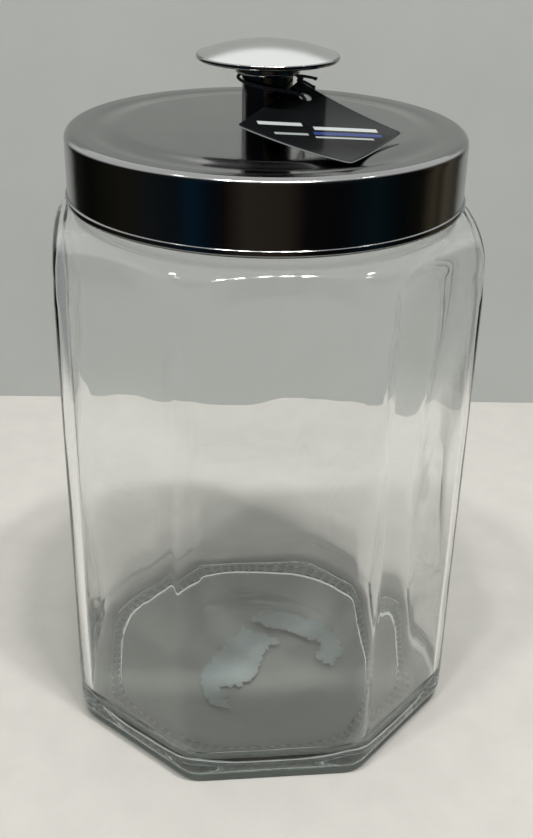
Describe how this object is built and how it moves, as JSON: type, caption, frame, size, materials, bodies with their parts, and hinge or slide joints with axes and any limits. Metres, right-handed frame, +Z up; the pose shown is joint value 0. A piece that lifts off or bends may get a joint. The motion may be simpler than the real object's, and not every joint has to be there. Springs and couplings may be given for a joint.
{
  "type": "lidded glass canister",
  "caption": "Square glass canister with clipped corners, a lift-off polished metal lid with a mushroom knob, and a small blank card tag tied to the knob.",
  "frame": {"origin": "middle of the base, on the surface the canister stands on", "axes": "+Z up along the jar and knob; -Y is the wall that faces the viewer, +X to that viewer's right"},
  "size_m": [0.139, 0.139, 0.2432],
  "materials": {
    "glass": "clear pressed glass, faint green in the thick parts",
    "polished_steel": "polished, lightly brushed on top",
    "satin_steel": "satin",
    "screw_steel": "zinc plated",
    "liner_plastic": "moulded, matte",
    "seal_rubber": "soft translucent silicone",
    "tag_card": "satin coated card",
    "dark_string": "twisted cord",
    "label_paper": "torn label paper"
  },
  "bodies": {
    "jar": {"glass_jar": "glass", "label_remnant": "label_paper"},
    "seal": {"seal_ring": "seal_rubber"},
    "lid": {"lid_shell": "polished_steel", "lid_liner": "liner_plastic", "knob_post": "polished_steel", "knob_cap": "satin_steel", "knob_screw": "screw_steel", "screw_washer": "screw_steel"},
    "string": {"tag_string": "dark_string", "string_knot": "dark_string", "string_ends": "dark_string"},
    "tag": {"hang_tag": "tag_card"}
  },
  "joints": [
    {"name": "lid_lift", "type": "slide", "parent": "jar", "child": "seal", "axis": [0, 0, 1], "range_m": [0, 0.06]},
    {"name": "lid_turn", "type": "hinge", "parent": "seal", "child": "lid", "pos_m": [0, 0, 0.2], "axis": [0, 0, 1], "continuous": true},
    {"name": "tag_swing", "type": "hinge", "parent": "lid", "child": "string", "pos_m": [0, 0, 0.232], "axis": [0, 0, 1], "continuous": true},
    {"name": "tag_tilt", "type": "hinge", "parent": "string", "child": "tag", "pos_m": [0.0109, -0.00997, 0.2275], "axis": [-0.9758, -0.1994, 0.0902], "range_deg": [0, 25]}
  ]
}
